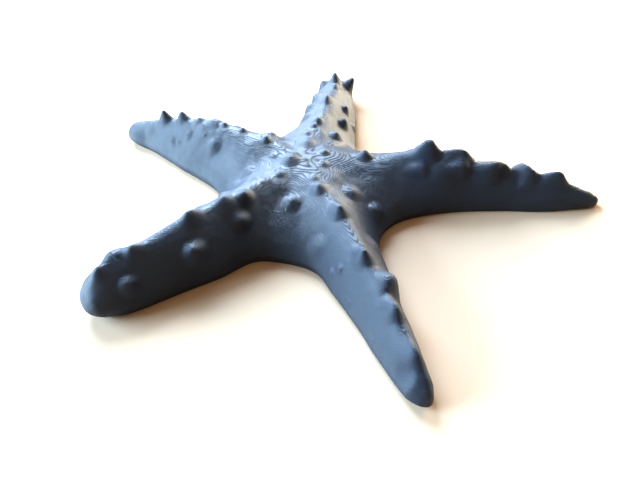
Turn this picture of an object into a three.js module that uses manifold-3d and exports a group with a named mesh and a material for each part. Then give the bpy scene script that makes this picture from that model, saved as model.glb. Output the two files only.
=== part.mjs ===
// A starfish ornament, printed in plastic as one solid. Millimetres, +Z up.
// The origin is on the flat underside, below the middle of the disc. +X runs
// close to the longest arm, and the underside lies on z = 0.
//
// Each of the five gaps between neighbouring arms is one sheet of ribs. A rib
// runs from the crest of an arm down to the outline, turns in at the foot and
// comes back along the underside, so the five sheets close on each other.
// The knobs are small blunt cones, joined on.

import * as THREE from 'three';
import { mergeGeometries, mergeVertices } from 'three/addons/utils/BufferGeometryUtils.js';
import Module from 'manifold-3d';

const wasm = await Module();
wasm.setup();

// Shares of an arm's length, counted from the middle of the disc, at which the
// arms' crest heights and half widths are given.
const CREST_STOPS = [0, 0.14, 0.28, 0.42, 0.56, 0.70, 0.83, 0.93, 0.98];
const WIDTH_STOPS = [0.42, 0.56, 0.70, 0.83, 0.93, 0.98];
const DISC_HEIGHT = 13.7;

// bearing: degrees from +X. bend: how far the middle of the arm bows to its
// left. webRadius, webTurn: where the outline crosses the gap on the left.
// overhang: how far the tip hangs out past the foot under it. left and right
// are seen looking outwards from the disc.
const ARMS = {
  long: {
    bearing: -10.3, reach: 83, bend: 2.2, next: 'rear', webRadius: 21.8, webTurn: 0,
    overhang: 1.0,
    left: [10.2, 8.2, 6.6, 5.2, 3.8, 2.4],
    right: [11.2, 8.6, 7.2, 6.0, 3.8, 2.4],
    crest: [13.2, 13.1, 14.5, 12.5, 9.2, 7.7, 4.9, 3.4],
  },
  rear: {
    bearing: 76.8, reach: 68, bend: -1.0, next: 'rear_left', webRadius: 26.5, webTurn: 4,
    overhang: 1.5,
    left: [11.6, 11.0, 10.0, 9.1, 7.6, 5.2],
    right: [10.4, 9.4, 8.2, 6.4, 5.2, 3.6],
    crest: [13.9, 13.8, 13.6, 12.8, 11.4, 9.9, 8.2, 6.0],
  },
  rear_left: {
    bearing: 146.1, reach: 75, bend: -1.3, next: 'front_left', webRadius: 24.5, webTurn: 0,
    overhang: 3.0,
    left: [12.0, 10.2, 7.6, 5.4, 5.0, 4.2],
    right: [10.4, 8.4, 6.8, 5.4, 4.8, 4.0],
    crest: [14.6, 15.0, 15.1, 14.0, 12.0, 9.2, 7.2, 6.0],
  },
  front_left: {
    bearing: 218.9, reach: 68, bend: 3.3, next: 'front', webRadius: 31.2, webTurn: 1,
    overhang: 3.5,
    left: [11.0, 9.8, 7.9, 6.9, 6.5, 5.6],
    right: [10.6, 9.2, 8.0, 7.0, 5.6, 4.2],
    crest: [13.9, 14.3, 15.0, 15.0, 13.6, 12.4, 10.2, 7.6],
  },
  front: {
    bearing: 286.9, reach: 76, bend: 0.8, next: 'long', webRadius: 29.2, webTurn: 2,
    overhang: 1.6,
    left: [8.8, 6.9, 5.0, 3.8, 2.7, 2.1],
    right: [9.8, 7.9, 6.3, 5.2, 4.2, 3.4],
    crest: [13.6, 13.3, 12.8, 11.8, 10.6, 9.4, 7.6, 5.8],
  },
};
// The web's curve takes this many stops of each arm, and joins the arms' own
// edges at the second of them.
const WEB_SPANS = 4;
const JOIN_SPANS = 2;
const WEB_ROUNDING = 0.3;

// The section of an arm. Its flanks are rounded at the disc, nearly straight
// along the arm, and dome-like at the tip.
const STRAIGHT_STOPS = [0, 0.2, 0.42, 0.75, 0.95, 1];
const STRAIGHTNESS = [0.3, 0.62, 0.72, 0.6, 0.25, 0];
const CREST_ROUNDING = 0.45;
const DOME_POWER = 2.2;
const FOOT_SHARE = 0.16;
const FOOT_TUCK = 0.5;
const TIP_LIFT = 0.13;
const OVERHANG_START = 0.8;
const NOSE_START = 0.955;
const NOSE_SPINE_SETBACK = 0.055;
const NOSE_TIP_HEIGHT = 0.45;

// How finely each half arm is divided, along its crest and down its flank.
const LENGTH_STEPS = 17;
const NOSE_STEPS = 4;
const FLANK_STEPS = 8;
const FOOT_STEPS = 2;

// Knobs: [arm, distance out, lean, height, foot radius]. Lean is 0 on the
// crest, 1 at the foot of the left flank and -1 at the foot of the right one.
const KNOBS = [
  ['front_left', 62, 0.1, 1.3, 2.7], ['front_left', 53.5, 0.06, 1.3, 2.7],
  ['front_left', 38.4, 0.06, 1.9, 3.1], ['front_left', 21.5, 0.22, 1.7, 2.9],
  ['front_left', 57.5, 0.74, 1.7, 2.9], ['front_left', 41.9, 0.69, 2.7, 3.5],
  ['front_left', 23.4, 0.58, 1.4, 2.9], ['front_left', 57.5, -0.32, 1.8, 4.2],
  ['front_left', 33, -0.5, 0.8, 3.6], ['front_left', 20, -0.6, 1.2, 3.4],
  ['front_left', 27, 0.2, 0.8, 5.0], ['rear_left', 56, 0, 3.3, 3.4],
  ['rear_left', 47.6, 0, 2.6, 3.0], ['rear_left', 33.5, -0.12, 1.0, 4.0],
  ['rear_left', 29.4, -0.06, 1.0, 1.9], ['rear_left', 21.7, -0.1, 0.9, 1.8],
  ['rear_left', 12.8, -0.03, 1.2, 2.0], ['rear_left', 25.6, 0.54, 0.8, 3.2],
  ['rear_left', 60, -0.5, 1.0, 3.4], ['rear_left', 50, -0.5, 1.3, 3.6],
  ['rear_left', 38, -0.6, 1.3, 3.8], ['rear_left', 24, -0.6, 1.3, 3.6],
  ['rear', 60, 0.1, 3.1, 2.9], ['rear', 50.5, -0.1, 1.5, 2.6], ['rear', 36, 0, 1.6, 2.6],
  ['rear', 20, 0, 1.2, 2.3], ['rear', 16.6, 0.05, 0.8, 1.6], ['rear', 60, 0.6, 2.1, 3.3],
  ['rear', 47, 0.6, 1.8, 3.5], ['rear', 34, 0.55, 1.8, 3.6], ['rear', 24, 0.5, 1.2, 3.4],
  ['rear', 61, -0.7, 4.0, 3.3], ['rear', 36.5, -0.62, 1.7, 2.5], ['rear', 23, -0.66, 2.1, 2.9],
  ['rear', 30.4, -0.95, 0.9, 2.2], ['long', 18, 0, 2.3, 2.6], ['long', 35.6, 0, 3.7, 3.9],
  ['long', 45.2, 0, 2.3, 3.3], ['long', 56.2, 0, 1.8, 3.1], ['long', 64, 0, 1.3, 2.9],
  ['long', 71.4, 0, 2.6, 3.1], ['long', 30, -0.45, 0.9, 2.8], ['long', 44.6, -0.38, 1.6, 2.8],
  ['long', 52.6, -0.3, 2.1, 4.4], ['long', 61.5, 0.3, 2.2, 3.6], ['long', 50, 0.5, 0.9, 3.6],
  ['long', 40, 0.5, 1.5, 3.6], ['long', 27, 0.55, 1.5, 3.6], ['front', 27.8, 0, 1.9, 3.2],
  ['front', 43.8, -0.08, 2.3, 2.9], ['front', 59, 0, 2.0, 3.0], ['front', 69, 0, 1.0, 2.6],
  ['front', 50.8, 0.55, 2.0, 4.8], ['front', 51.5, 0.24, 1.0, 4.0],
  ['front', 34, 0.72, 0.8, 3.6], ['front', 8, 0.57, 1.1, 3.2], ['front', 5.4, 0.88, 1.4, 3.1],
];

// Lumps of the disc, which stand upright: [x, y, height, foot radius].
const DISC_LUMPS = [
  [-3.1, -2.6, 1.3, 3.8], [1.8, 6.0, 0.9, 4.0], [6.8, 0.2, 0.8, 1.9], [3.9, -16.6, 1.5, 3.3],
  [-3.4, -18.8, 1.5, 3.2], [-16.0, -2.4, 1.0, 2.9], [11.1, 13.4, 1.7, 3.0],
  [-9.2, 12.4, 1.2, 4.6],
];
const KNOB_SIDES = 6;
const KNOB_ROOT = 1.2;
const KNOB_LIFT = 0.7;
const ON_CREST = 0.12;

const FINISH = new THREE.MeshStandardMaterial({
  color: 0x3c434e,
  roughness: 0.45,
  metalness: 0,
});

// A smooth reading between the values given at the stops.
function smoothRow(stops, values) {
  const row = new THREE.CubicInterpolant(stops, values, 1, [0]);
  return (share) => row.evaluate(share)[0];
}

// Everything about one arm that the ribs ask for at a distance out.
function describeArm(arm) {
  const turn = THREE.MathUtils.degToRad(arm.bearing);
  const outward = new THREE.Vector2(Math.cos(turn), Math.sin(turn));
  const leftward = new THREE.Vector2(-outward.y, outward.x);
  const crestRow = smoothRow(CREST_STOPS, [DISC_HEIGHT, ...arm.crest]);
  const leftRow = smoothRow(WIDTH_STOPS, arm.left);
  const rightRow = smoothRow(WIDTH_STOPS, arm.right);
  const lastStop = WIDTH_STOPS.at(-1);

  const rounding = (share) => {
    const past = THREE.MathUtils.clamp((share - NOSE_START) / (1 - NOSE_START), 0, 1);
    return Math.sqrt(1 - past * past);
  };
  const spine = (out) => {
    const share = out / arm.reach;
    const bow = arm.bend * 4 * share * (1 - share);
    return outward.clone().multiplyScalar(out).addScaledVector(leftward, bow);
  };
  const sideways = (out) => {
    const slope = (arm.bend * 4 * (1 - (2 * out) / arm.reach)) / arm.reach;
    return leftward.clone().addScaledVector(outward, -slope).normalize();
  };
  const crest = (out) => {
    const share = out / arm.reach;
    const height = crestRow(Math.min(share, lastStop));
    return height * (NOSE_TIP_HEIGHT + (1 - NOSE_TIP_HEIGHT) * rounding(share));
  };
  const edge = (out, side) => {
    const share = out / arm.reach;
    const row = side > 0 ? leftRow : rightRow;
    const half = row(Math.min(share, lastStop)) * rounding(share);
    return spine(out).addScaledVector(sideways(out), side * half);
  };
  const overhangAt = (out) => {
    const past = Math.max(0, out / arm.reach - OVERHANG_START) / (1 - OVERHANG_START);
    return arm.overhang * past * past;
  };
  return { ...arm, turn, spine, crest, edge, overhangAt };
}

const arms = Object.fromEntries(
  Object.entries(ARMS).map(([name, arm]) => [name, describeArm(arm)]),
);

// Distances out at which an arm has ribs, closer together round the nose.
function ribDistances(arm) {
  const distances = [];
  for (let i = 0; i <= LENGTH_STEPS; i += 1) {
    distances.push((NOSE_START * arm.reach * i) / LENGTH_STEPS);
  }
  for (let i = 1; i <= NOSE_STEPS; i += 1) {
    const past = Math.sin((Math.PI / 2) * (i / NOSE_STEPS));
    distances.push(arm.reach * (NOSE_START + (1 - NOSE_START) * past));
  }
  return distances;
}

// The outline across the gap on the left of an arm: in along its left edge,
// round the web and out along the right edge of the next arm.
function webCurve(arm) {
  const next = arms[arm.next];
  const nextTurn = next.turn < arm.turn ? next.turn + 2 * Math.PI : next.turn;
  const middle = (arm.turn + nextTurn) / 2 + THREE.MathUtils.degToRad(arm.webTurn);
  const web = new THREE.Vector2(Math.cos(middle), Math.sin(middle));
  web.multiplyScalar(arm.webRadius);
  const stops = WIDTH_STOPS.slice(0, WEB_SPANS);
  const before = stops.map((share) => arm.edge(share * arm.reach, 1)).reverse();
  const after = stops.map((share) => next.edge(share * next.reach, -1));
  const points = [...before, web, ...after].map((p) => new THREE.Vector3(p.x, p.y, 0));
  return new THREE.CatmullRomCurve3(points, false, 'centripetal');
}

// Where the rib that starts at a distance out meets the outline. The web is
// rounded by averaging places on the curve to either side.
function outlinePoint(arm, side, curve, out) {
  const joinStop = WIDTH_STOPS[JOIN_SPANS - 1] * arm.reach;
  if (out >= joinStop) {
    return arm.edge(out, side);
  }
  const share = (-side * out) / joinStop;
  const near = WEB_ROUNDING * (1 - share * share);
  const follow = (place) =>
    curve.getPoint((WEB_SPANS + place * JOIN_SPANS) / (2 * WEB_SPANS));
  const point = follow(share).multiplyScalar(2);
  point.add(follow(share - near)).add(follow(share + near)).multiplyScalar(1 / 4);
  return new THREE.Vector2(point.x, point.y);
}

// The share of the crest's height at which the flank is widest.
function footShare(arm, out) {
  return FOOT_SHARE + TIP_LIFT * arm.overhangAt(out);
}

// The height of the flank, as a share of the crest, at a share of the way out.
function flankHeight(across, straightness, foot) {
  const rounded = Math.hypot(across, CREST_ROUNDING) - CREST_ROUNDING;
  const roof = 1 - rounded / (Math.hypot(1, CREST_ROUNDING) - CREST_ROUNDING);
  const dome = Math.sqrt(Math.max(0, 1 - across ** DOME_POWER));
  const shape = straightness * roof + (1 - straightness) * dome;
  return foot + (1 - foot) * shape;
}

const straightnessAt = smoothRow(STRAIGHT_STOPS, STRAIGHTNESS);

// A point of the flank: across is 0 on the crest and 1 at the widest place.
function flankPoint(arm, out, outline, across) {
  const spine = arm.spine(out);
  const place = spine.clone().lerp(outline, across);
  const straightness = straightnessAt(out / arm.reach);
  const share = flankHeight(across, straightness, footShare(arm, out));
  return new THREE.Vector3(place.x, place.y, arm.crest(out) * share);
}

// One rib: down the flank, in at the foot, back to the spine underneath.
function rib(arm, side, curve, out) {
  const outline = outlinePoint(arm, side, curve, out);
  const share = out / arm.reach;
  const points = [];
  for (let i = 0; i <= FLANK_STEPS; i += 1) {
    const even = i / FLANK_STEPS;
    const across = 0.65 * even + 0.35 * Math.sin((even * Math.PI) / 2);
    points.push(flankPoint(arm, out, outline, across));
  }
  const under = arm.spine(out - NOSE_SPINE_SETBACK * arm.reach * share ** 4);
  const inward = under.clone().sub(outline);
  const footHeight = arm.crest(out) * footShare(arm, out);
  const tuckDepth = FOOT_TUCK + arm.overhangAt(out);
  for (let i = 1; i <= FOOT_STEPS; i += 1) {
    const down = i / FOOT_STEPS;
    const tuck = Math.min(0.8, (tuckDepth * down * down) / inward.length());
    const place = outline.clone().addScaledVector(inward, tuck);
    points.push(new THREE.Vector3(place.x, place.y, footHeight * (1 - down)));
  }
  points.push(new THREE.Vector3(under.x, under.y, 0));
  return points;
}

// The sheet of ribs between an arm and the next one round.
function gapSheet(arm) {
  const next = arms[arm.next];
  const curve = webCurve(arm);
  const inwards = ribDistances(arm).reverse().map((out) => rib(arm, 1, curve, out));
  const outwards = ribDistances(next).slice(1).map((out) => rib(next, -1, curve, out));
  const ribs = [...inwards, ...outwards];
  const rows = ribs[0].length;
  const positions = ribs.flat().flatMap((point) => point.toArray());
  const index = [];
  for (let i = 0; i + 1 < ribs.length; i += 1) {
    for (let j = 0; j + 1 < rows; j += 1) {
      const a = i * rows + j;
      const b = a + rows;
      index.push(a, a + 1, b + 1, a, b + 1, b);
    }
  }
  const sheet = new THREE.BufferGeometry();
  sheet.setAttribute('position', new THREE.Float32BufferAttribute(positions, 3));
  sheet.setIndex(index);
  return sheet;
}

// A closed geometry as a solid that can be joined.
function toSolid(geometry) {
  const bare = geometry.clone();
  bare.deleteAttribute('normal');
  bare.deleteAttribute('uv');
  const merged = mergeVertices(bare, 1e-4);
  const corners = merged.index.array;
  const kept = [];
  for (let i = 0; i < corners.length; i += 3) {
    const [a, b, c] = [corners[i], corners[i + 1], corners[i + 2]];
    if (a !== b && b !== c && c !== a) {
      kept.push(a, b, c);
    }
  }
  return new wasm.Manifold(new wasm.Mesh({
    numProp: 3,
    vertProperties: new Float32Array(merged.attributes.position.array),
    triVerts: new Uint32Array(kept),
  }));
}

// The middle of a knob's foot on the surface, and the way the knob points.
function knobSeat(armName, out, lean) {
  const side = lean < 0 ? -1 : 1;
  const arm = arms[armName];
  const owner = side > 0 ? arm : Object.values(arms).find((other) => other.next === armName);
  const curve = webCurve(owner);
  const at = (distance, across) =>
    flankPoint(arm, distance, outlinePoint(arm, side, curve, distance), across);
  const across = Math.abs(lean);
  const seat = at(out, across);
  const up = new THREE.Vector3(0, 0, 1);
  if (across < ON_CREST) {
    return { seat, points: up };
  }
  const nudge = 0.05;
  const along = at(out + 1, across).sub(at(Math.max(0, out - 1), across));
  const down = at(out, across + nudge).sub(at(out, across - nudge));
  const facing = along.cross(down);
  if (facing.z < 0) {
    facing.negate();
  }
  facing.normalize().addScaledVector(up, KNOB_LIFT).normalize();
  return { seat, points: facing };
}

// The place on the disc's skin above a point of the underside.
function discSeat(skin, x, y) {
  const above = new THREE.Vector3(x, y, 2 * DISC_HEIGHT);
  const down = new THREE.Raycaster(above, new THREE.Vector3(0, 0, -1));
  return down.intersectObject(skin)[0].point;
}

// A blunt cone with a hollow-sided foot, standing on +Y as lathes do.
function knobGeometry(height, radius) {
  const profile = [
    [0, -KNOB_ROOT],
    [radius, -KNOB_ROOT],
    [radius * 0.56, height * 0.3],
    [radius * 0.22, height * 0.85],
    [0, height],
  ].map(([x, y]) => new THREE.Vector2(x, y));
  return new THREE.LatheGeometry(profile, KNOB_SIDES);
}

function knobSolid(seat, points, height, radius) {
  const turn = new THREE.Quaternion();
  turn.setFromUnitVectors(new THREE.Vector3(0, 1, 0), points);
  const geometry = knobGeometry(height, radius);
  geometry.applyQuaternion(turn);
  geometry.translate(seat.x, seat.y, seat.z);
  return toSolid(geometry);
}

function starfishGeometry() {
  const sheets = mergeGeometries(Object.values(arms).map(gapSheet));
  const skin = new THREE.Mesh(sheets, FINISH);
  const upright = new THREE.Vector3(0, 0, 1);
  let solid = toSolid(sheets);
  for (const [armName, out, lean, height, radius] of KNOBS) {
    const { seat, points } = knobSeat(armName, out, lean);
    solid = solid.add(knobSolid(seat, points, height, radius));
  }
  for (const [x, y, height, radius] of DISC_LUMPS) {
    solid = solid.add(knobSolid(discSeat(skin, x, y), upright, height, radius));
  }
  const mesh = solid.getMesh();
  const geometry = new THREE.BufferGeometry();
  const positions = new THREE.Float32BufferAttribute(mesh.vertProperties, 3);
  geometry.setAttribute('position', positions);
  geometry.setIndex(Array.from(mesh.triVerts));
  geometry.computeVertexNormals();
  return geometry;
}

const starfish = new THREE.Mesh(starfishGeometry(), FINISH);
starfish.name = 'starfish';

const ornament = new THREE.Group();
ornament.add(starfish);

export default ornament;
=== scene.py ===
import math

import bmesh
import bpy
from mathutils import Matrix, Vector, kdtree, noise


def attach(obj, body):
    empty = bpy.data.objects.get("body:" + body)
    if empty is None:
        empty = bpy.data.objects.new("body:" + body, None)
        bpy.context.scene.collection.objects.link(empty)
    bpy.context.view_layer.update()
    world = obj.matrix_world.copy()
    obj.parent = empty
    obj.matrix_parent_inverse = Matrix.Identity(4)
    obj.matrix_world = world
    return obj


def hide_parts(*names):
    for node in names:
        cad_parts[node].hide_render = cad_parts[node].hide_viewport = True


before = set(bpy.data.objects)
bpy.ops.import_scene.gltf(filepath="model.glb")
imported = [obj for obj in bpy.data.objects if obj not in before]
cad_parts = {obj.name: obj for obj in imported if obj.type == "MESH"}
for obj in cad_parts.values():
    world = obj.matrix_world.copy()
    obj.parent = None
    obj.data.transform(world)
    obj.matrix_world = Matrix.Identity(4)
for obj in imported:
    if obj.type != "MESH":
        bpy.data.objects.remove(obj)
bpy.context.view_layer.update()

# The starfish. One solid print in slate-blue plastic: a low disc, five tapering arms
# with a rounded crest along each, and a flat underside where it stood on the bed.
# The skin is five sheets of ribs, one in each gap between arms, welded to each other.
MM = 0.001
CREST_STOPS = (0, 0.14, 0.28, 0.42, 0.56, 0.70, 0.83, 0.93, 0.98)
WIDTH_STOPS = (0.42, 0.56, 0.70, 0.83, 0.93, 0.98)
DISC_HEIGHT = 13.7

# Bearings in degrees from +X, lengths in mm. Crest heights and the half widths to the
# left and right, looking outwards, are given at the stops. An arm's tip overhangs its foot,
# and the web fills the gap between the arm and the one that follows on its left.
ARMS = {
    "long": dict(
        bearing=-10.3, reach=83, bend=2.2, following="rear", web=21.8, web_turn=0, overhang=1.0,
        left=(10.2, 8.2, 6.6, 5.2, 3.8, 2.4),
        right=(11.2, 8.6, 7.2, 6.0, 3.8, 2.4),
        crest=(13.2, 13.1, 14.5, 12.5, 9.2, 7.7, 4.9, 3.4)),
    "rear": dict(
        bearing=76.8, reach=68, bend=-1.0, following="rear_left", web=26.5, web_turn=4, overhang=1.5,
        left=(11.6, 11.0, 10.0, 9.1, 7.6, 5.2),
        right=(10.4, 9.4, 8.2, 6.4, 5.2, 3.6),
        crest=(13.9, 13.8, 13.6, 12.8, 11.4, 9.9, 8.2, 6.0)),
    "rear_left": dict(
        bearing=146.1, reach=75, bend=-1.3, following="front_left", web=24.5, web_turn=0, overhang=3.0,
        left=(12.0, 10.2, 7.6, 5.4, 5.0, 4.2),
        right=(10.4, 8.4, 6.8, 5.4, 4.8, 4.0),
        crest=(14.6, 15.0, 15.1, 14.0, 12.0, 9.2, 7.2, 6.0)),
    "front_left": dict(
        bearing=218.9, reach=68, bend=3.3, following="front", web=31.2, web_turn=1, overhang=3.5,
        left=(11.0, 9.8, 7.9, 6.9, 6.5, 5.6),
        right=(10.6, 9.2, 8.0, 7.0, 5.6, 4.2),
        crest=(13.9, 14.3, 15.0, 15.0, 13.6, 12.4, 10.2, 7.6)),
    "front": dict(
        bearing=286.9, reach=76, bend=0.8, following="long", web=29.2, web_turn=2, overhang=1.6,
        left=(8.8, 6.9, 5.0, 3.8, 2.7, 2.1),
        right=(9.8, 7.9, 6.3, 5.2, 4.2, 3.4),
        crest=(13.6, 13.3, 12.8, 11.8, 10.6, 9.4, 7.6, 5.8)),
}


def smooth_row(stops, values):
    """A smooth reading between the values given at the stops."""
    last = len(stops) - 2

    def slope(i):
        if i == 0:
            return (values[1] - values[0]) / (stops[1] - stops[0])
        if i == last + 1:
            return (values[-1] - values[-2]) / (stops[-1] - stops[-2])
        before, after = stops[i] - stops[i - 1], stops[i + 1] - stops[i]
        rise = (values[i] - values[i - 1]) / before * after
        rise += (values[i + 1] - values[i]) / after * before
        return rise / (before + after)

    slopes = [slope(i) for i in range(last + 2)]

    def read(share):
        i = 0
        while i < last and share > stops[i + 1]:
            i += 1
        span = stops[i + 1] - stops[i]
        t = (share - stops[i]) / span
        rest = 1 - t
        value = rest * rest * ((1 + 2 * t) * values[i] + t * span * slopes[i])
        return value + t * t * ((3 - 2 * t) * values[i + 1] - rest * span * slopes[i + 1])

    return read


# The section of an arm: how straight its flanks are along its length, how high its widest
# place stands, how far in mm the foot tucks in under it, and how the nose closes.
straightness_at = smooth_row((0, 0.2, 0.42, 0.75, 0.95, 1), (0.3, 0.62, 0.72, 0.6, 0.25, 0))
CREST_ROUNDING = 0.45
DOME_POWER = 2.2
FOOT_SHARE = 0.16
FOOT_TUCK = 0.5
MOST_TUCK = 0.8
FOOT_CROWDING = 0.35
TIP_LIFT = 0.13
OVERHANG_START = 0.8
NOSE_START = 0.955
NOSE_SPINE_SETBACK = 0.055
NOSE_TIP_HEIGHT = 0.45
WEB_ROUNDING = 0.3
WEB_STOPS = 4
for arm in ARMS.values():
    arm["turn"] = math.radians(arm["bearing"])
    arm["outward"] = Vector((math.cos(arm["turn"]), math.sin(arm["turn"])))
    arm["leftward"] = Vector((-arm["outward"].y, arm["outward"].x))
    arm["crest_row"] = smooth_row(CREST_STOPS, (DISC_HEIGHT, *arm["crest"]))
    arm["edge_rows"] = {
        1: smooth_row(WIDTH_STOPS, arm["left"]),
        -1: smooth_row(WIDTH_STOPS, arm["right"]),
    }


def nose_rounding(share):
    """How full the arm still is: 1 up to the nose, then down to 0 at the tip."""
    past = min(max((share - NOSE_START) / (1 - NOSE_START), 0), 1)
    return math.sqrt(1 - past * past)


def spine_point(arm, out):
    """The place under the crest at a distance out, in mm, on the arm's bowed middle line."""
    share = out / arm["reach"]
    bow = arm["bend"] * 4 * share * (1 - share)
    return arm["outward"] * out + arm["leftward"] * bow


def crest_height(arm, out):
    """The crest's height in mm, which falls away over the nose."""
    share = out / arm["reach"]
    height = arm["crest_row"](min(share, WIDTH_STOPS[-1]))
    return height * (NOSE_TIP_HEIGHT + (1 - NOSE_TIP_HEIGHT) * nose_rounding(share))


def edge_point(arm, out, side):
    """The widest place of an arm on its left, side 1, or its right, side -1."""
    share = out / arm["reach"]
    half = arm["edge_rows"][side](min(share, WIDTH_STOPS[-1])) * nose_rounding(share)
    slope = arm["bend"] * 4 * (1 - 2 * share) / arm["reach"]
    sideways = (arm["leftward"] - arm["outward"] * slope).normalized()
    return spine_point(arm, out) + sideways * side * half


def web_outline(arm):
    """The outline round the gap on an arm's left, read from -1 at the second width stop of
    that arm's left edge, through 0 at the web, to 1 at the next arm's second stop."""
    other = ARMS[arm["following"]]
    other_turn = other["turn"] + (2 * math.pi if other["turn"] < arm["turn"] else 0)
    middle = (arm["turn"] + other_turn) / 2 + math.radians(arm["web_turn"])
    stops = WIDTH_STOPS[:WEB_STOPS]
    points = [edge_point(arm, share * arm["reach"], 1) for share in reversed(stops)]
    points.append(Vector((math.cos(middle), math.sin(middle))) * arm["web"])
    points += [edge_point(other, share * other["reach"], -1) for share in stops]
    places = [0]
    for a, b in zip(points, points[1:]):
        places.append(places[-1] + math.sqrt((b - a).length))
    rows = [smooth_row(places, [p[axis] for p in points]) for axis in (0, 1)]
    web = places[len(stops)]
    inner, outer = places[len(stops) - 2], places[len(stops) + 2]

    def follow(share):
        place = web + share * ((outer - web) if share > 0 else (web - inner))
        return Vector((rows[0](place), rows[1](place)))

    def read(share):
        near = WEB_ROUNDING * (1 - share * share)
        return (follow(share - near) + 2 * follow(share) + follow(share + near)) / 4

    return read


for arm in ARMS.values():
    arm["outline"] = {1: web_outline(arm)}
for arm in ARMS.values():
    ARMS[arm["following"]]["outline"][-1] = arm["outline"][1]


def outline_point(arm, side, out):
    """The widest place beside a place on the spine, on the web's curve or the arm's edge."""
    second_stop = WIDTH_STOPS[1] * arm["reach"]
    if out >= second_stop:
        return edge_point(arm, out, side)
    return arm["outline"][side](-side * out / second_stop)


def overhang_at(arm, out):
    """How far, in mm, the nose hangs out past the foot under it."""
    past = max(0, out / arm["reach"] - OVERHANG_START) / (1 - OVERHANG_START)
    return arm["overhang"] * past * past


def foot_share(arm, out):
    """How high the widest place stands, as a share of the crest's height."""
    return FOOT_SHARE + TIP_LIFT * overhang_at(arm, out)


def flank_height(arm, out, across):
    """Height as a share of the crest's, from 1 on the crest to the foot's share."""
    straightness = straightness_at(out / arm["reach"])
    rounded = math.hypot(across, CREST_ROUNDING) - CREST_ROUNDING
    roof = 1 - rounded / (math.hypot(1, CREST_ROUNDING) - CREST_ROUNDING)
    dome = math.sqrt(max(0, 1 - across ** DOME_POWER))
    foot = foot_share(arm, out)
    return foot + (1 - foot) * (straightness * roof + (1 - straightness) * dome)


def flank_point(arm, side, out, across):
    """A place on a flank, across being 0 on the crest and 1 at the widest place."""
    place = spine_point(arm, out).lerp(outline_point(arm, side, out), across)
    return Vector((place.x, place.y, crest_height(arm, out) * flank_height(arm, out, across)))


def rib(arm, side, out):
    """Points down one flank, in at the foot and back to the spine underneath."""
    outline = outline_point(arm, side, out)
    share = out / arm["reach"]
    points = []
    for i in range(FLANK_STEPS + 1):
        even = i / FLANK_STEPS
        across = (1 - FOOT_CROWDING) * even + FOOT_CROWDING * math.sin(even * math.pi / 2)
        points.append(flank_point(arm, side, out, across))
    under = spine_point(arm, out - NOSE_SPINE_SETBACK * arm["reach"] * share ** 4)
    inward = under - outline
    foot = crest_height(arm, out) * foot_share(arm, out)
    for i in range(1, FOOT_STEPS + 1):
        down = i / FOOT_STEPS
        tuck = (FOOT_TUCK + overhang_at(arm, out)) * down * down / inward.length
        place = outline + inward * min(MOST_TUCK, tuck)
        points.append(Vector((place.x, place.y, foot * (1 - down))))
    points.append(Vector((under.x, under.y, 0)))
    return points


LENGTH_STEPS = 112
NOSE_STEPS = 14
FLANK_STEPS = 32
FOOT_STEPS = 3
RIB_STEPS = FLANK_STEPS + FOOT_STEPS + 1
TOUCHING = 0.004


def rib_distances(arm):
    """The distances out of an arm's ribs, evenly apart and then closer round the nose."""
    reach = arm["reach"]
    straight = [NOSE_START * reach * i / LENGTH_STEPS for i in range(LENGTH_STEPS + 1)]
    curl = [math.sin(math.pi / 2 * i / NOSE_STEPS) for i in range(1, NOSE_STEPS + 1)]
    return straight + [reach * (NOSE_START + (1 - NOSE_START) * past) for past in curl]


star = bmesh.new()
for arm in ARMS.values():
    other = ARMS[arm["following"]]
    ribs = [rib(arm, 1, out) for out in reversed(rib_distances(arm))]
    ribs += [rib(other, -1, out) for out in rib_distances(other)[1:]]
    columns = len(ribs) - 1
    sheet = bmesh.ops.create_grid(star, x_segments=columns, y_segments=RIB_STEPS, size=1)
    for vert in sheet["verts"]:
        column = round((vert.co.x + 1) / 2 * columns)
        row = round((vert.co.y + 1) / 2 * RIB_STEPS)
        vert.co = ribs[column][row] * MM
bmesh.ops.remove_doubles(star, verts=star.verts, dist=TOUCHING * MM)
bmesh.ops.dissolve_degenerate(star, edges=star.edges, dist=TOUCHING * MM)
bmesh.ops.recalc_face_normals(star, faces=star.faces)

# Where the arms run into the disc the creases between them are filled in and rounded,
# most of all at the middle, and not at all at the foot.
SETTLING_REACHES = (40, 36, 32, 28, 25, 22, 20)
SETTLING_FLOOR = 3
SETTLING_ROUNDS = 14
for reach in SETTLING_REACHES:
    settling = [
        v for v in star.verts
        if v.co.xy.length < reach * MM and v.co.z > SETTLING_FLOOR * MM]
    for _ in range(SETTLING_ROUNDS):
        bmesh.ops.smooth_vert(
            star, verts=settling, factor=0.5, use_axis_x=True, use_axis_y=True, use_axis_z=True)

# The print's skin isn't quite even: it rises and falls by a few tenths of a millimetre
# over a centimetre, and by a few hundredths over a millimetre. It is at its most uneven
# on its gentle slopes, and the underside stays flat. Spacing and height are in mm.
SWELLS = ((8.5, 0.28), (5.2, 0.1), (2.4, 0.06), (1.2, 0.035))
GENTLE_SWELLS = ((7.5, 0.24), (4.4, 0.2), (2.6, 0.1))
GENTLE_FROM = 0.7
GENTLE_SPAN = 0.25
SWELL_FLOOR = 0.2
FREE_HEIGHT = 2


def unevenness(place, swells):
    """The rise, in mm, that swells of several sizes add up to at a place."""
    return sum(height * noise.noise(place / (spacing * MM)) for spacing, height in swells)


def freedom(place):
    """How far the skin may move: not at all at the foot, and fully a little above it."""
    return min(1, place.z / (FREE_HEIGHT * MM))


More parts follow.
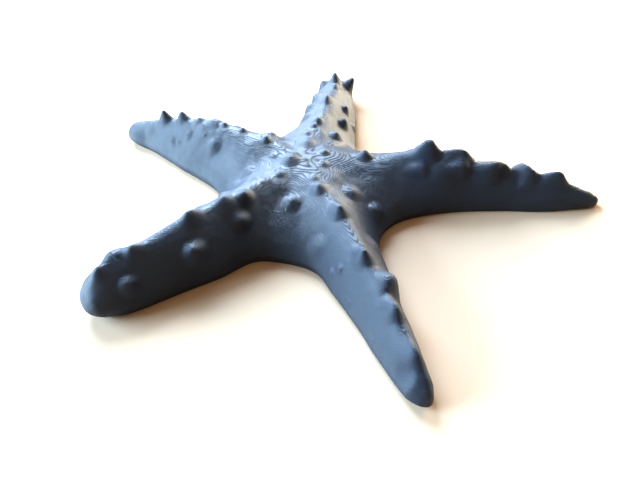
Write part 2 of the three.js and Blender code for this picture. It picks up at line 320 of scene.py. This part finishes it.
star.normal_update()
swelling = {}
for vert in star.verts:
    if vert.co.z > SWELL_FLOOR * MM:
        gentle = min(1, max(0, (vert.normal.z - GENTLE_FROM) / GENTLE_SPAN))
        rise = unevenness(vert.co, SWELLS) + gentle * unevenness(vert.co, GENTLE_SWELLS)
        swelling[vert] = vert.normal * rise * freedom(vert.co) * MM
for vert, swell in swelling.items():
    vert.co += swell

# The knobs, blunt spikes that stand in a row along each crest and are scattered down the
# flanks. They are part of the print: each is drawn up out of the skin, steep on the side
# of the arm's tip and trailing off towards the disc. Arm, distance out, lean, height, foot
# radius, sharpness and trail: lean is 0 on the crest, 1 at the foot of the left flank and
# -1 at the foot of the right one, and the trail stretches the side towards the disc.
KNOBS = {
    "front_left": (
        (62, 0.1, 1.3, 2.7, 0.5, 1.3), (53.5, 0.06, 1.3, 2.7, 0.6, 1.3), (38.4, 0.06, 1.9, 3.1, 0.6, 1.3),
        (28.5, 0.05, 0.7, 2.4, 0.1, 1.2), (21.5, 0.22, 1.7, 2.9, 0.3, 1.2),
        (57.5, 0.74, 1.7, 2.9, 0.4, 1.3), (41.9, 0.69, 2.7, 3.5, 0.4, 1.4),
        (23.4, 0.58, 1.4, 2.9, 0.3, 1.4), (57.5, -0.32, 1.8, 4.2, 0.1, 1.3),
        (33, -0.5, 0.8, 3.6, 0.2, 1), (20, -0.6, 1.2, 3.4, 0.2, 1),
        (27, 0.2, 0.8, 5.0, 0, 1.6)),
    "rear_left": (
        (56, 0, 3.3, 3.4, 0.7, 1.1), (47.6, 0, 2.6, 3.0, 0.7, 1.2), (40, -0.06, 0.7, 2.4, 0.3, 1),
        (33.5, -0.12, 1.0, 4.0, 0.1, 1), (29.4, -0.06, 1.0, 1.9, 0.7, 1), (21.7, -0.1, 0.9, 1.8, 0.6, 1),
        (12.8, -0.03, 1.2, 2.0, 0.5, 1), (62, 0.5, 0.4, 3.2, 0, 1), (49, 0.7, 0.45, 2.6, 0, 1),
        (42, 0.45, 0.5, 2.8, 0, 1), (25.6, 0.54, 0.85, 3.2, 0.2, 1.2), (45.3, 0.68, 0.35, 0.9, 0.5, 1),
        (32.8, 0.4, 0.25, 0.8, 0.4, 1), (60, -0.5, 1.0, 3.4, 0.2, 1), (50, -0.5, 1.3, 3.6, 0.2, 1),
        (38, -0.6, 1.3, 3.8, 0.2, 1), (24, -0.6, 1.3, 3.6, 0.2, 1)),
    "rear": (
        (60, 0.1, 3.1, 2.9, 0.7, 1.2), (50.5, -0.1, 1.5, 2.6, 0.6, 1.4), (36, 0, 1.6, 2.6, 0.6, 1.8),
        (20, 0, 1.2, 2.3, 0.5, 1.2), (16.6, 0.05, 0.8, 1.6, 0.5, 1), (60, 0.6, 2.1, 3.3, 0.3, 1.2),
        (47, 0.6, 1.8, 3.5, 0.3, 1.2), (34, 0.55, 1.8, 3.6, 0.2, 1.2), (24, 0.5, 1.2, 3.4, 0.2, 1),
        (61, -0.7, 4.0, 3.3, 0.7, 1.2), (36.5, -0.62, 1.7, 2.5, 0.4, 1), (23, -0.66, 2.1, 2.9, 0.4, 1),
        (30.4, -0.95, 0.9, 2.2, 0.2, 1)),
    "long": (
        (18, 0, 2.3, 2.6, 0.6, 1.3), (35.6, 0, 3.7, 3.9, 0.7, 1.7), (45.2, 0, 2.3, 3.3, 0.6, 2.6),
        (56.2, 0, 1.8, 3.1, 0.6, 2), (64, 0, 1.3, 2.9, 0.5, 2), (71.4, 0, 2.6, 3.1, 0.6, 2),
        (30, -0.45, 0.9, 2.8, 0, 2), (44.6, -0.38, 1.6, 2.8, 0.3, 1.8), (52.6, -0.3, 2.1, 4.4, 0, 1.6),
        (38, -0.5, 0.5, 5.0, 0, 1), (60.3, -0.36, -0.4, 2.6, 0, 1), (63, -0.3, 0.7, 3.4, 0, 1),
        (61.5, 0.3, 2.2, 3.6, 0.3, 1.2), (50, 0.5, 0.9, 3.6, 0.2, 1.3), (40, 0.5, 1.5, 3.6, 0.2, 1.3),
        (27, 0.55, 1.5, 3.6, 0.2, 1.3)),
    "front": (
        (27.8, 0, 1.9, 3.2, 0.5, 1.6), (43.8, -0.08, 2.3, 2.9, 0.6, 1.6), (59, 0, 2.0, 3.0, 0.6, 1.6),
        (69, 0, 1.0, 2.6, 0.3, 2), (50.8, 0.55, 2.0, 4.8, 0, 1.2), (51.5, 0.24, 1.0, 4.0, 0, 1),
        (34, 0.72, 0.8, 3.6, 0, 1.2), (8, 0.57, 1.1, 3.2, 0.1, 1.5), (5.4, 0.88, 1.4, 3.1, 0.2, 1.5),
        (37.5, -0.85, 0.45, 1.5, 0.3, 1), (40.6, -0.68, 0.5, 1.5, 0.3, 1), (48.7, -0.9, 0.4, 1.2, 0.3, 1),
        (55.8, -0.42, 0.25, 0.7, 0.4, 1), (60.3, -0.9, 0.25, 0.6, 0.4, 1), (24, -0.78, 0.5, 3.6, 0, 1),
        (70.6, -0.74, -0.4, 3.0, 0, 1)),
}

# The lumps of the disc stand upright: their place in mm, height, radius and sharpness.
DISC_LUMPS = (
    (-3.1, -2.6, 1.3, 3.8, 0.1), (1.8, 6.0, 0.9, 4.0, 0), (-8.1, 1.4, 0.5, 1.9, 0.2),
    (-6.3, -8.7, 0.6, 2.1, 0.2), (0.6, -2.2, 0.4, 1.6, 0), (6.8, 0.2, 0.8, 1.9, 0.4),
    (5.8, -4.8, 0.5, 2.2, 0.2), (3.3, -11.3, 0.5, 2.0, 0.2), (3.9, -16.6, 1.5, 3.3, 0.2),
    (-3.4, -18.8, 1.5, 3.2, 0.3), (-12.6, -10.0, 0.4, 1.8, 0.2), (-15.2, -9.4, 0.35, 1.4, 0),
    (-10.6, -12.4, 0.3, 1.3, 0.2), (1.4, 12.2, 0.6, 1.7, 0.3), (-16.0, -2.4, 1.0, 2.9, 0),
    (11.1, 13.4, 1.7, 3.0, 0.3), (9.4, 7.4, 0.5, 2.2, 0), (-9.2, 12.4, 1.2, 4.6, 0),
    (-8.6, 12.0, 0.6, 1.8, 0.1), (-6.2, -13.6, 0.4, 3.0, 0))
KNOB_LIFT = 0.7
ON_CREST = 0.12
TIP_SHARE = 0.18
SPIKE_POWER = 1.5
FULL_TRAIL_FROM = 20
FOOT_MARGIN = 1.3
KNOB_FLOOR = 0.1
SEAT_STEP_OUT = 1
SEAT_STEP_ACROSS = 0.05


def knob_rise(share, sharpness):
    """How far a knob stands at a share of its foot radius, a spike or a soft mound."""
    mound = (1 - share * share) ** 2
    past = max(0, share - TIP_SHARE) / (1 - TIP_SHARE)
    return sharpness * (1 - past) ** SPIKE_POWER + (1 - sharpness) * mound


def knob_seat(name, out, lean):
    """The middle of a knob's foot, in mm, and the way the knob points."""
    side = -1 if lean < 0 else 1
    arm, across = ARMS[name], abs(lean)
    seat = flank_point(arm, side, out, across)
    if across < ON_CREST:
        return seat, Vector((0, 0, 1))
    farther = flank_point(arm, side, out + SEAT_STEP_OUT, across)
    nearer = flank_point(arm, side, max(0, out - SEAT_STEP_OUT), across)
    lower = flank_point(arm, side, out, across + SEAT_STEP_ACROSS)
    upper = flank_point(arm, side, out, across - SEAT_STEP_ACROSS)
    along, down = farther - nearer, lower - upper
    facing = along.cross(down)
    if facing.z < 0:
        facing.negate()
    return seat, (facing.normalized() + Vector((0, 0, KNOB_LIFT))).normalized()


star.verts.ensure_lookup_table()
tree = kdtree.KDTree(len(star.verts))
for i, vert in enumerate(star.verts):
    tree.insert(vert.co, i)
tree.balance()
lifts = {}


def raise_knob(seat, points, inward, height, radius, sharpness, trail):
    """Lifts the skin round a seat, all in mm, along the way the knob points."""
    inward = (inward - points * inward.dot(points)).normalized()
    for place, i, _ in tree.find_range(seat * MM, FOOT_MARGIN * radius * trail * MM):
        offset = place / MM - seat
        level = offset - points * offset.dot(points)
        back = level.dot(inward)
        if back > 0:
            level -= inward * back * (1 - 1 / trail)
        if level.length < radius and place.z > KNOB_FLOOR * MM:
            rise = height * knob_rise(level.length / radius, sharpness) * freedom(place)
            lifts[i] = lifts.get(i, Vector()) + points * rise * MM


for name, knobs in KNOBS.items():
    inward = -ARMS[name]["outward"].to_3d()
    for out, lean, height, radius, sharpness, trail in knobs:
        seat, points = knob_seat(name, out, lean)
        stretch = 1 + (trail - 1) * min(1, out / FULL_TRAIL_FROM)
        raise_knob(seat, points, inward, height, radius, sharpness, stretch)


def skin_on_top(x, y):
    """The vert of the skin that is nearest to a place in mm, and on top rather than below."""
    place = Vector((x, y)) * MM
    return min(star.verts, key=lambda v: (v.co.xy - place).length - v.co.z)


for x, y, height, radius, sharpness in DISC_LUMPS:
    touch = skin_on_top(x, y)
    points = (touch.normal + Vector((0, 0, 1))).normalized()
    raise_knob(touch.co / MM, points, Vector((-x, -y, 0)), height, radius, sharpness, 1)
for i, lift in lifts.items():
    star.verts[i].co += lift

# The layers. The print was laid down in flat layers, so its gentle slopes are little
# terraces, one layer high, which ring the knobs and the disc like contour lines.
# The steep flanks keep only fine lines, which the finish below carries. A layer is in mm,
# slopes are in degrees, and a tread keeps a small share of the slope it was cut from.
LAYER = 0.15
RISER_SHARE = 0.34
STEEPEST_STEPPED = 40
STEEPEST_FULL = 30
CUT_PAST = 2
CUT_SNAP = 0.01
TREAD_SLOPE = 0.04
star.normal_update()
levels = []
for k in range(1, int(max(vert.co.z for vert in star.verts) / (LAYER * MM)) + 1):
    levels += [k - RISER_SHARE / 2, k + RISER_SHARE / 2]
least_up = math.cos(math.radians(STEEPEST_STEPPED + CUT_PAST))
cuttable = [f for f in star.faces if f.normal.z > least_up]
cuttable += {e for f in cuttable for e in f.edges} | {v for f in cuttable for v in f.verts}
for level in levels:
    cut = bmesh.ops.bisect_plane(
        star, geom=cuttable, dist=CUT_SNAP * MM,
        plane_co=(0, 0, level * LAYER * MM), plane_no=(0, 0, 1))
    cuttable = cut["geom"]
star.normal_update()
build_height = star.verts.layers.float.new("build_height")
no_step = math.cos(math.radians(STEEPEST_STEPPED))
all_step = math.cos(math.radians(STEEPEST_FULL))
tread_reach = (1 - RISER_SHARE) / 2
for vert in star.verts:
    vert[build_height] = vert.co.z
    height = vert.co.z / (LAYER * MM)
    strength = min(1, max(0, (vert.normal.z - no_step) / (all_step - no_step)))
    if height > 1 and strength > 0:
        layer = math.floor(height)
        off_middle = height - layer - 0.5
        if abs(off_middle) <= tread_reach:
            stepped = off_middle * TREAD_SLOPE
        else:
            past = (abs(off_middle) - tread_reach) / (RISER_SHARE / 2)
            rise = tread_reach * TREAD_SLOPE * (1 - past) + 0.5 * past
            stepped = math.copysign(rise, off_middle)
        vert.co.z += strength * (stepped - off_middle) * LAYER * MM

# The edges of the terraces and of the underside stay crisp, and the rest is rounded.
CRISP_ANGLE = math.radians(28)
for face in star.faces:
    face.smooth = True
for edge in star.edges:
    if len(edge.link_faces) == 2 and edge.calc_face_angle(0) > CRISP_ANGLE:
        edge.smooth = False
starfish_mesh = bpy.data.meshes.new("starfish_print")
star.to_mesh(starfish_mesh)
star.free()
starfish = bpy.data.objects.new("starfish_print", starfish_mesh)
bpy.context.collection.objects.link(starfish)

# The plastic. Slate blue all through, with a satin skin that is a little glossier along
# some layers than others. The layers are round-backed beads with dull grooves between
# them, which wander by a part of a layer. Reliefs are in mm, and there is a faint grain,
# its size in lumps to the metre.
SLATE = (0.016, 0.023, 0.04, 1)
SLATE_PALE = (0.026, 0.037, 0.06, 1)
MOTTLE_SHARE = 0.7
SATIN_ROUGHNESS = 0.38
PATCH_ROUGHNESS = 0.1
LAYER_ROUGHNESS = 0.08
GROOVE_ROUGHNESS = 0.5
GROOVE_NARROWNESS = 3
LAYER_WANDER = 0.25
BEAD_RELIEF = 0.035
GRAIN_RELIEF = 0.06
GRAIN_SIZE = 2600
plastic = bpy.data.materials.new("slate_plastic")
plastic.use_nodes = True
nodes, links = plastic.node_tree.nodes, plastic.node_tree.links
skin = nodes["Principled BSDF"]


def maths(operation, first, second=None, third=None):
    """One Math node, fed by sockets or by plain numbers."""
    node = nodes.new("ShaderNodeMath")
    node.operation = operation
    for socket, value in zip(node.inputs, (first, second, third)):
        if isinstance(value, (int, float)):
            socket.default_value = value
        elif value is not None:
            links.new(value, socket)
    return node.outputs[0]


built = nodes.new("ShaderNodeAttribute")
built.attribute_name = "build_height"
print_space = nodes.new("ShaderNodeTexCoord").outputs["Object"]


def cloud(scale, detail=3.0):
    """Soft noise in the print's own space, with its size as lumps to the metre."""
    node = nodes.new("ShaderNodeTexNoise")
    node.inputs["Scale"].default_value = scale
    node.inputs["Detail"].default_value = detail
    links.new(print_space, node.inputs["Vector"])
    return node.outputs["Fac"]


wander = maths("MULTIPLY", maths("SUBTRACT", cloud(60), 0.5), LAYER_WANDER)
layers = maths("ADD", maths("DIVIDE", built.outputs["Fac"], LAYER * MM), wander)
bead = maths("SINE", maths("MULTIPLY", maths("FRACT", layers), math.pi))
groove = maths("POWER", maths("SUBTRACT", 1, bead), GROOVE_NARROWNESS)
each_layer = nodes.new("ShaderNodeTexWhiteNoise")
each_layer.noise_dimensions = "1D"
links.new(maths("FLOOR", layers), each_layer.inputs["W"])
layer_lot = each_layer.outputs["Value"]

tone = nodes.new("ShaderNodeMix")
tone.data_type = "RGBA"
tone.inputs["A"].default_value = SLATE
tone.inputs["B"].default_value = SLATE_PALE
layer_tone = maths("MULTIPLY", layer_lot, 1 - MOTTLE_SHARE)
mottle = maths("MULTIPLY_ADD", cloud(140), MOTTLE_SHARE, layer_tone)
links.new(mottle, tone.inputs["Factor"])
links.new(tone.outputs["Result"], skin.inputs["Base Color"])

dullness = maths("MULTIPLY_ADD", cloud(220), PATCH_ROUGHNESS, SATIN_ROUGHNESS)
dullness = maths("MULTIPLY_ADD", layer_lot, LAYER_ROUGHNESS, dullness)
dullness = maths("MULTIPLY_ADD", groove, GROOVE_ROUGHNESS, dullness)
links.new(dullness, skin.inputs["Roughness"])

ridges = nodes.new("ShaderNodeBump")
ridges.inputs["Strength"].default_value = 1
ridges.inputs["Distance"].default_value = 1
relief = maths("MULTIPLY", bead, BEAD_RELIEF * MM)
relief = maths("MULTIPLY_ADD", cloud(GRAIN_SIZE, 2.0), GRAIN_RELIEF * MM, relief)
links.new(relief, ridges.inputs["Height"])
links.new(ridges.outputs["Normal"], skin.inputs["Normal"])
skin.inputs["IOR"].default_value = 1.5
skin.inputs["Specular IOR Level"].default_value = 0.5
starfish_mesh.materials.append(plastic)
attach(starfish, "root")
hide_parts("starfish")

# The table. A sheet of plain pale paper, laid flat under the print. Its warm tint makes
# up for the cool light of the windows, so that it looks white and its shadows tan.
PAPER_SIZE = 3.0
PAPER_COLOUR = (0.86, 0.64, 0.46, 1)
PAPER_ROUGHNESS = 0.9
table_top = bmesh.new()
bmesh.ops.create_grid(table_top, x_segments=1, y_segments=1, size=PAPER_SIZE / 2)
paper_mesh = bpy.data.meshes.new("paper")
table_top.to_mesh(paper_mesh)
table_top.free()
paper = bpy.data.objects.new("paper", paper_mesh)
bpy.context.collection.objects.link(paper)
white = bpy.data.materials.new("white_paper")
white.use_nodes = True
matt = white.node_tree.nodes["Principled BSDF"]
matt.inputs["Base Color"].default_value = PAPER_COLOUR
matt.inputs["Roughness"].default_value = PAPER_ROUGHNESS
paper_mesh.materials.append(white)

# The camera stands close in front of the starfish and looks down on it, with its head
# tilted a little to one side.
LOOK_DOWN = math.radians(41.8)
HEAD_TILT = math.radians(-3.82)
CAMERA_PLACE = Vector((0.0035, -0.1187, 0.0865))
camera_data = bpy.data.cameras.new("camera")
camera_data.sensor_width = 36
camera_data.lens = 27
camera_data.clip_start = 0.005
camera = bpy.data.objects.new("camera", camera_data)
bpy.context.collection.objects.link(camera)
camera.matrix_world = (
    Matrix.Translation(CAMERA_PLACE)
    @ Matrix.Rotation(math.pi / 2 - LOOK_DOWN, 4, "X")
    @ Matrix.Rotation(HEAD_TILT, 4, "Z"))
bpy.context.scene.camera = camera


def soft_light(name, bearing, height, distance, width, power, colour):
    """A square softbox at a bearing and height in degrees, facing the starfish."""
    light = bpy.data.lights.new(name, "AREA")
    light.size = width
    light.energy = power
    light.color = colour
    lamp = bpy.data.objects.new(name, light)
    bpy.context.collection.objects.link(lamp)
    lamp.matrix_world = (
        Matrix.Rotation(math.radians(bearing), 4, "Z")
        @ Matrix.Rotation(math.radians(90 - height), 4, "Y")
        @ Matrix.Translation((0, 0, distance)))
    return lamp


# The light. Cool daylight from windows behind and to the left, a warm lamp low behind on
# the right, and warm air all round. The sky's light falls on the starfish alone, so that
# it shines on the plastic and leaves the shadows on the paper deep.
soft_light("window", 110, 33, 1.0, 0.6, 28, (0.57, 0.77, 1.0))
soft_light("window_side", 176, 14, 1.0, 0.7, 42, (0.5, 0.76, 1.0))
sky = soft_light("sky", 82, 48, 1.0, 0.7, 13, (0.72, 0.86, 1.0))
lit_by_sky = bpy.data.collections.new("lit_by_sky")
lit_by_sky.objects.link(starfish)
sky.light_linking.receiver_collection = lit_by_sky
soft_light("room", 50, 5, 1.0, 0.5, 21, (1.0, 0.88, 0.66))
AIR_COLOUR = (1.0, 0.74, 0.5, 1)
AIR_STRENGTH = 0.26
room_air = bpy.data.worlds.new("room_air")
room_air.use_nodes = True
air = room_air.node_tree.nodes["Background"]
air.inputs["Color"].default_value = AIR_COLOUR
air.inputs["Strength"].default_value = AIR_STRENGTH
bpy.context.scene.world = room_air
bpy.context.scene.view_settings.view_transform = "Standard"
bpy.context.scene.view_settings.look = "Medium High Contrast"
